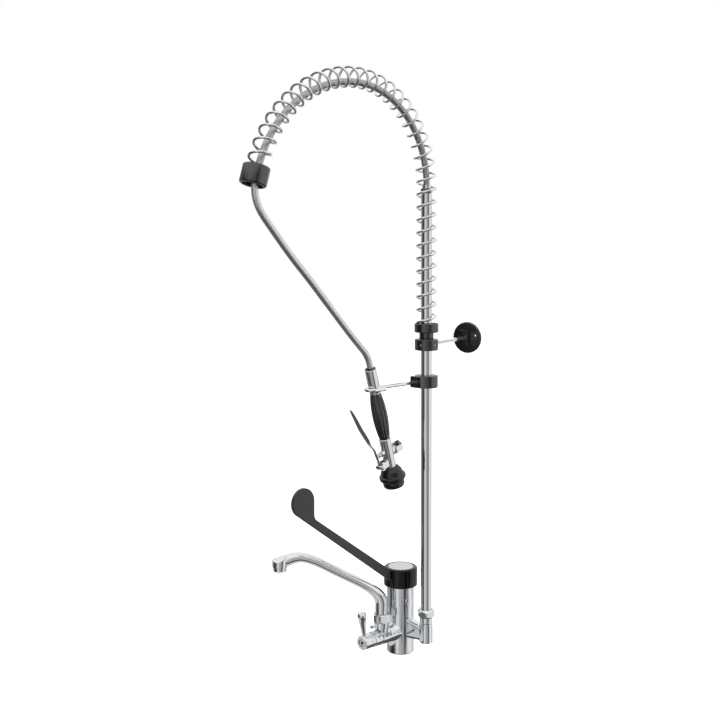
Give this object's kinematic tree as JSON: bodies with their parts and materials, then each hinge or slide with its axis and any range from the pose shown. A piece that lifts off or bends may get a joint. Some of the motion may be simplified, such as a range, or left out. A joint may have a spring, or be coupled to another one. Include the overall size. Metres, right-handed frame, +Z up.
{
  "type": "pre-rinse tap with hand spray",
  "caption": "Tall deck tap with an elbow lever, swivel spout with shut-off valve, riser, spring arch over a braided hose, and a trigger hand spray hung in a wire hook.",
  "frame": {"origin": "centre of the mixer column's underside, on the deck", "axes": "+Z up along the column, -Y to the front where the user stands, +X to the riser pipe"},
  "size_m": [0.2461, 0.6181, 1.1199],
  "materials": {
    "chrome": "polished",
    "steel": "satin",
    "braid": "braided",
    "brass": "as machined",
    "black_plastic": "satin",
    "black_rubber": "matt",
    "white_plastic": "satin",
    "mark_grey": "gloss"
  },
  "bodies": {
    "mixer": {"mixer_body": "chrome", "base_seal": "black_rubber", "check_valves": "white_plastic", "cartridge_housing": "white_plastic", "cartridge_nut": "brass", "spout_nut": "chrome", "spout_seals": "black_rubber", "valve_bonnet": "chrome", "stop_screw": "steel", "riser_nipple": "chrome", "riser_nut": "chrome", "riser_gasket": "black_rubber"},
    "riser": {"riser_tube": "chrome", "riser_tail": "brass", "hose_connector": "chrome", "spring_collar": "black_plastic", "spring_collar_screw": "steel", "spring": "steel", "end_cap": "black_plastic", "hose_upper": "braid", "hose_lower": "braid", "hook_clamp": "black_plastic", "hook_clamp_screws": "steel", "hook_rod": "steel"},
    "wall_bracket": {"wall_clamp": "black_plastic", "wall_clamp_screws": "steel", "wall_rod": "steel", "wall_flange": "black_plastic", "flange_screw": "steel"},
    "cartridge": {"cartridge_turret": "white_plastic", "stem_pin": "steel"},
    "lever": {"cartridge_stem": "brass", "elbow_lever": "black_plastic", "handle_cap": "chrome", "index_mark": "mark_grey", "handle_screw": "steel"},
    "spout": {"spout_tube": "chrome", "spout_retainer": "steel", "aerator_housing": "chrome", "aerator_insert": "white_plastic", "aerator_washer": "black_rubber"},
    "valve_lever": {"valve_handle": "chrome", "valve_spindle": "brass", "valve_end_plug": "steel", "valve_handle_screw": "steel"},
    "hand_spray": {"hose_sleeve": "chrome", "sleeve_ring": "black_rubber", "hose_ferrule": "steel", "handset_collar": "chrome", "grip": "black_plastic", "grip_tube": "brass", "spray_body": "chrome", "valve_cap": "chrome", "valve_gland": "chrome", "valve_spring": "steel", "pivot_bolt": "steel", "spray_bell": "black_rubber", "spray_face": "steel"},
    "plunger": {"valve_plunger": "steel"},
    "trigger": {"trigger_lever": "chrome"}
  },
  "joints": [
    {"name": "riser_turn", "type": "hinge", "parent": "mixer", "child": "riser", "pos_m": [0.067, 0, 0.08], "axis": [0, 0, 1], "range_deg": [-90, 90]},
    {"name": "bracket_turn", "type": "hinge", "parent": "riser", "child": "wall_bracket", "pos_m": [0.067, 0, 0.6075], "axis": [0, 0, 1], "range_deg": [-60, 60]},
    {"name": "handle_turn", "type": "hinge", "parent": "mixer", "child": "cartridge", "pos_m": [0, 0, 0.118], "axis": [0, 0, 1], "range_deg": [-55, 55]},
    {"name": "lever_lift", "type": "hinge", "parent": "cartridge", "child": "lever", "pos_m": [0, 0, 0.118], "axis": [-1, 0, 0], "range_deg": [0, 25]},
    {"name": "spout_swivel", "type": "hinge", "parent": "mixer", "child": "spout", "pos_m": [0, -0.0535, 0.078], "axis": [0, 0, 1], "range_deg": [-60, 120]},
    {"name": "valve_turn", "type": "hinge", "parent": "mixer", "child": "valve_lever", "pos_m": [0, -0.099, 0.0415], "axis": [0, -1, 0], "range_deg": [0, 90]},
    {"name": "spray_unhook", "type": "slide", "parent": "riser", "child": "hand_spray", "axis": [0, 1, 0], "range_m": [0, 0.03], "stiffness_N_per_m": 60, "springref_m": -0.05, "deforming": ["hose_lower"]},
    {"name": "trigger_squeeze", "type": "hinge", "parent": "hand_spray", "child": "trigger", "pos_m": [0.067, -0.1251, 0.3895], "axis": [-1, 0, 0], "range_deg": [0, 12], "stiffness_Nm_per_rad": 0.15, "springref_deg": -45.84},
    {"name": "plunger_push", "type": "slide", "parent": "hand_spray", "child": "plunger", "axis": [0, 0.9613, 0.2756], "range_m": [0, 0.005], "deforming": ["valve_spring"]}
  ],
  "couplings": [
    {"joint": "plunger_push", "follows": "trigger_squeeze", "m_per_rad": 0.023}
  ]
}
